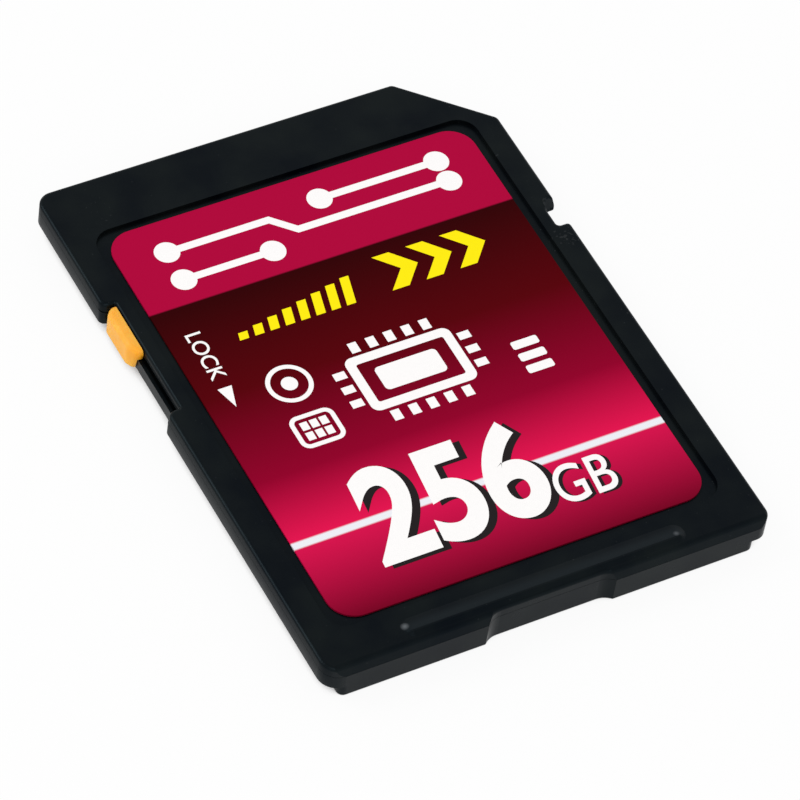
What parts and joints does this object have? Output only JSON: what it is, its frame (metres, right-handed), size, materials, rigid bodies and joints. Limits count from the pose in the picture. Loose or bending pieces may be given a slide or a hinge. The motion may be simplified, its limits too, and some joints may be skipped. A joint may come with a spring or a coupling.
{
  "type": "memory card",
  "caption": "Flat full-size memory card: black moulded case with a cut corner and side rails, crimson label, orange write-protect slider and recessed contact pads.",
  "frame": {"origin": "middle of the underside", "axes": "+Y to the contact edge that goes into the socket first, +Z out of the label, +X to the edge with the cut corner"},
  "size_m": [0.024, 0.032, 0.0022],
  "materials": {
    "case_black": "fine satin moulded plastic",
    "slider_orange": "smooth moulded plastic",
    "label_print": "printed film, crimson fields with a white line and plain marks",
    "board_mask": "solder mask over laminate",
    "contact_gold": "hard gold plate",
    "chip_resin": "moulded package resin",
    "capacitor_body": "fired ceramic with tinned ends",
    "resistor_body": "glazed ceramic with tinned ends"
  },
  "bodies": {
    "card": {"top_cover": "case_black", "bottom_cover": "case_black", "label": "label_print", "circuit_board": "board_mask", "flash_chip": "chip_resin", "controller_chip": "chip_resin", "contact_1": "contact_gold", "contact_2": "contact_gold", "contact_3": "contact_gold", "contact_4": "contact_gold", "contact_5": "contact_gold", "contact_6": "contact_gold", "contact_7": "contact_gold", "contact_8": "contact_gold", "contact_9": "contact_gold", "capacitor_1": "capacitor_body", "capacitor_2": "capacitor_body", "capacitor_3": "capacitor_body", "capacitor_4": "capacitor_body", "capacitor_5": "capacitor_body", "capacitor_6": "capacitor_body", "resistor_1": "resistor_body", "resistor_2": "resistor_body", "resistor_3": "resistor_body", "resistor_4": "resistor_body"},
    "slider": {"lock_slider": "slider_orange"}
  },
  "joints": [
    {"name": "lock_slide", "type": "slide", "parent": "card", "child": "slider", "axis": [0, -1, 0], "range_m": [0, 0.00366]}
  ]
}
